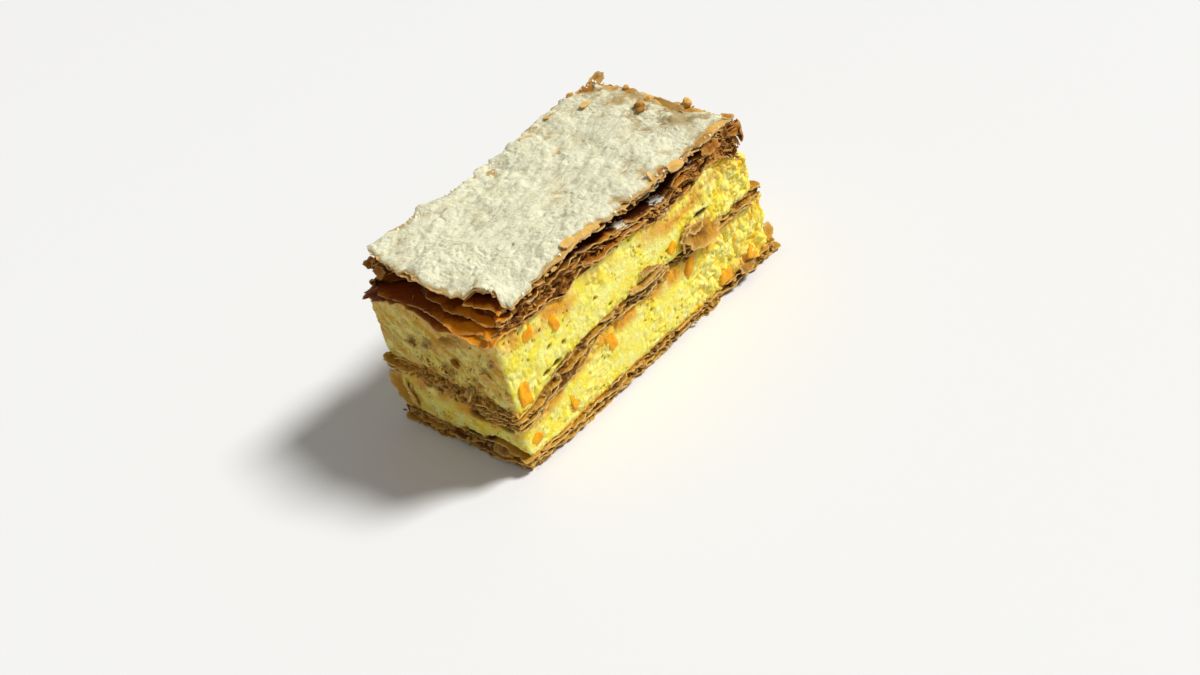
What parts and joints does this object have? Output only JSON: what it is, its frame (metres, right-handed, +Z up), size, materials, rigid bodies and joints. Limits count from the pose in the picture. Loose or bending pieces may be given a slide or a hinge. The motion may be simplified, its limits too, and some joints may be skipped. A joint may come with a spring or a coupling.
{
  "type": "vanilla mille-feuille slice",
  "caption": "Rectangular slice of layered puff pastry and vanilla cream with a sugar-dusted flaky top leaf.",
  "frame": {"origin": "centre of the slice's footprint on the surface it stands on", "axes": "+X along the slice from its near short end to the far one, +Y across it to the far long side, +Z up"},
  "size_m": [0.1234, 0.0604, 0.0586],
  "materials": {
    "baked_pastry": "matte flaky baked crust, golden brown",
    "vanilla_cream": "soft satin, pale yellow, porous at the cut",
    "sugared_pastry": "dark golden flaky crust under matte white icing sugar"
  },
  "bodies": {
    "root": {"bottom_pastry": "baked_pastry", "lower_cream": "vanilla_cream", "middle_pastry": "baked_pastry", "upper_cream": "vanilla_cream", "top_pastry": "sugared_pastry"}
  },
  "joints": []
}
